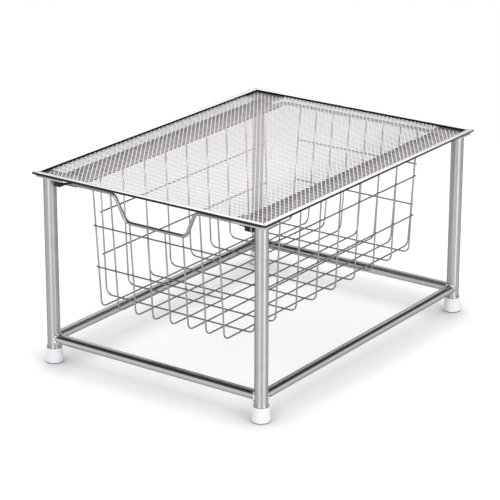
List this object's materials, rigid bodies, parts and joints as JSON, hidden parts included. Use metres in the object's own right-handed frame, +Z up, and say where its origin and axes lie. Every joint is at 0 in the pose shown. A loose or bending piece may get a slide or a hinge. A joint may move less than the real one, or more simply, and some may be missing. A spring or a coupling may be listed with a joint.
{
  "type": "pull-out cabinet basket",
  "caption": "Free-standing steel stand with an expanded-mesh top and a wire grid basket that slides out to the front on rails under it.",
  "frame": {"origin": "on the floor under the middle of the stand, at the bottom centre of its box", "axes": "+Z up, X along the front with +X to the right seen from the front, -Y towards the front where the basket pulls out, +Y to the back"},
  "size_m": [0.34, 0.464, 0.245],
  "materials": {
    "strip_steel": "satin nickel-look metallic coat on flat steel strip",
    "mesh_steel": "satin nickel-look metallic coat on expanded steel mesh",
    "tube_steel": "satin nickel-look metallic coat on round steel tube",
    "rail_steel": "satin metallic coat on rolled sheet steel",
    "wire_steel": "satin nickel-look metallic coat on steel wire",
    "white_plastic": "smooth white moulded plastic",
    "black_plastic": "plain black moulded plastic"
  },
  "bodies": {
    "stand": {"strip_front": "strip_steel", "strip_back": "strip_steel", "strip_left": "strip_steel", "strip_right": "strip_steel", "top_mesh": "mesh_steel", "plate_front_left": "tube_steel", "plate_front_right": "tube_steel", "plate_back_left": "tube_steel", "plate_back_right": "tube_steel", "leg_front_left": "tube_steel", "leg_front_right": "tube_steel", "leg_back_left": "tube_steel", "leg_back_right": "tube_steel", "foot_front_left": "white_plastic", "foot_front_right": "white_plastic", "foot_back_left": "white_plastic", "foot_back_right": "white_plastic", "bar_front": "tube_steel", "bar_back": "tube_steel", "bar_left": "tube_steel", "bar_right": "tube_steel", "rail_left": "rail_steel", "rail_right": "rail_steel", "guide_left": "black_plastic", "guide_right": "black_plastic"},
    "basket": {"rim_front_wire": "wire_steel", "rim_back_wire": "wire_steel", "long_wire_1": "wire_steel", "long_wire_2": "wire_steel", "long_wire_3": "wire_steel", "long_wire_4": "wire_steel", "long_wire_5": "wire_steel", "long_wire_6": "wire_steel", "long_wire_7": "wire_steel", "long_wire_8": "wire_steel", "cross_wire_1": "wire_steel", "cross_wire_2": "wire_steel", "cross_wire_3": "wire_steel", "cross_wire_4": "wire_steel", "cross_wire_5": "wire_steel", "cross_wire_6": "wire_steel", "cross_wire_7": "wire_steel", "cross_wire_8": "wire_steel", "cross_wire_9": "wire_steel", "wall_wire_front_upper": "wire_steel", "wall_wire_front_lower": "wire_steel", "wall_wire_back_upper": "wire_steel", "wall_wire_back_lower": "wire_steel", "wall_wire_left_upper": "wire_steel", "wall_wire_left_lower": "wire_steel", "wall_wire_right_upper": "wire_steel", "wall_wire_right_lower": "wire_steel", "glide_left": "black_plastic", "glide_right": "black_plastic"}
  },
  "joints": [
    {"name": "basket_slide", "type": "slide", "parent": "stand", "child": "basket", "axis": [0, -1, 0], "range_m": [0, 0.345]}
  ]
}
